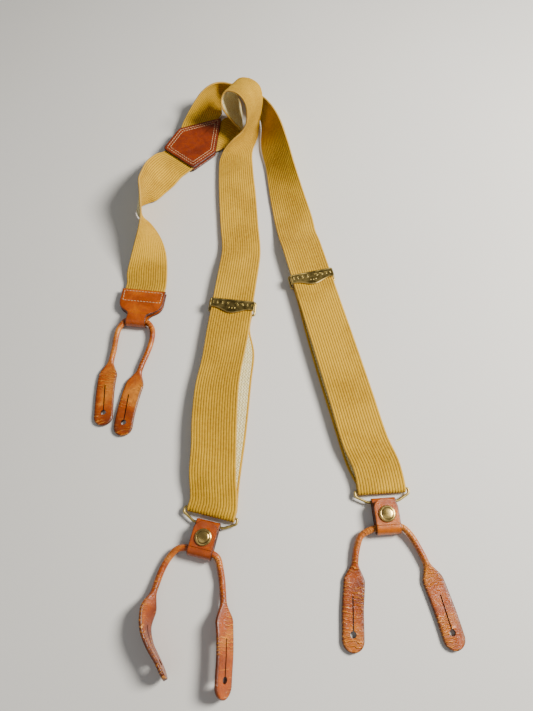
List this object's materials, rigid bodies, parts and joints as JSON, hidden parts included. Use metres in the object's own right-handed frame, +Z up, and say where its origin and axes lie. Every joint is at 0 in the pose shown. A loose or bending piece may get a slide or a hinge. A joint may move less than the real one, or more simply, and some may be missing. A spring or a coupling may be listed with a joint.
{
  "type": "suspenders",
  "caption": "Men's Y-back suspenders laid loosely: tan ribbed elastic straps, cognac leather back patch, brass sliders, wire bails, snap tabs and rolled leather button loops",
  "frame": {"origin": "middle of the bounding box in X and Y, at its lowest face, where the set lies on the table", "axes": "+X across the laid-out set to the right front strap's side, +Y along its length from the button loops to the back patch end, +Z up from the table"},
  "size_m": [0.2858, 0.6066, 0.0549],
  "materials": {
    "webbing": "matte ribbed weave",
    "leather": "satin, burnished edges",
    "antique_brass": "antiqued",
    "bright_brass": "polished"
  },
  "bodies": {
    "straps": {"front_strap_left": "webbing", "front_strap_right": "webbing", "strap_return_left": "webbing", "strap_return_right": "webbing", "rear_strap": "webbing", "back_patch_front": "leather", "back_patch_rear": "leather", "rear_tab": "leather"},
    "slider_left": {"slider_plate_left": "antique_brass", "slider_frame_left": "antique_brass"},
    "bail_left": {"wire_bail_left": "antique_brass"},
    "tab_left": {"snap_tab_left": "leather", "snap_stud_left": "antique_brass", "snap_eyelet_left": "antique_brass"},
    "flap_left": {"tab_flap_left": "leather", "snap_cap_left": "bright_brass", "snap_socket_left": "antique_brass"},
    "loop_left": {"button_loop_left": "leather"},
    "slider_right": {"slider_plate_right": "antique_brass", "slider_frame_right": "antique_brass"},
    "bail_right": {"wire_bail_right": "antique_brass"},
    "tab_right": {"snap_tab_right": "leather", "snap_stud_right": "antique_brass", "snap_eyelet_right": "antique_brass"},
    "flap_right": {"tab_flap_right": "leather", "snap_cap_right": "bright_brass", "snap_socket_right": "antique_brass"},
    "loop_right": {"button_loop_right": "leather"},
    "loop_rear": {"rear_button_loop": "leather"}
  },
  "joints": [
    {"name": "slider_slide_left", "type": "slide", "parent": "straps", "child": "slider_left", "axis": [-0.1201, -0.9928, 0], "range_m": [-0.02, 0.02], "deforming": ["strap_return_left"]},
    {"name": "bail_hinge_left", "type": "hinge", "parent": "straps", "child": "bail_left", "pos_m": [-0.0395, -0.181, 0.0034], "axis": [-0.9724, 0.2334, 0], "range_deg": [0, 60]},
    {"name": "tab_hinge_left", "type": "hinge", "parent": "bail_left", "child": "tab_left", "pos_m": [-0.0416, -0.18975, 0.003], "axis": [-0.9724, 0.2334, 0], "range_deg": [0, 50]},
    {"name": "flap_hinge_left", "type": "hinge", "parent": "tab_left", "child": "flap_left", "pos_m": [-0.04592, -0.20774, 0.01], "axis": [0.9724, -0.2334, 0], "range_deg": [0, 120]},
    {"name": "loop_hinge_left", "type": "hinge", "parent": "tab_left", "child": "loop_left", "pos_m": [-0.04627, -0.2092, 0.00505], "axis": [-0.9724, 0.2334, 0], "range_deg": [0, 60]},
    {"name": "slider_slide_right", "type": "slide", "parent": "straps", "child": "slider_right", "axis": [0.2267, -0.974, 0], "range_m": [-0.02, 0.02], "deforming": ["strap_return_right"]},
    {"name": "bail_hinge_right", "type": "hinge", "parent": "straps", "child": "bail_right", "pos_m": [0.0932, -0.1635, 0.0034], "axis": [-0.9976, -0.0698, 0], "range_deg": [0, 60]},
    {"name": "tab_hinge_right", "type": "hinge", "parent": "bail_right", "child": "tab_right", "pos_m": [0.09383, -0.17248, 0.003], "axis": [-0.9976, -0.0698, 0], "range_deg": [0, 50]},
    {"name": "flap_hinge_right", "type": "hinge", "parent": "tab_right", "child": "flap_right", "pos_m": [0.09512, -0.19093, 0.01], "axis": [0.9976, 0.0698, 0], "range_deg": [0, 120]},
    {"name": "loop_hinge_right", "type": "hinge", "parent": "tab_right", "child": "loop_right", "pos_m": [0.09522, -0.19243, 0.00505], "axis": [-0.9976, -0.0698, 0], "range_deg": [0, 60]},
    {"name": "loop_hinge_rear", "type": "hinge", "parent": "straps", "child": "loop_rear", "pos_m": [-0.11517, -0.0115, 0.00525], "axis": [-0.9942, 0.108, 0], "range_deg": [0, 60]}
  ]
}
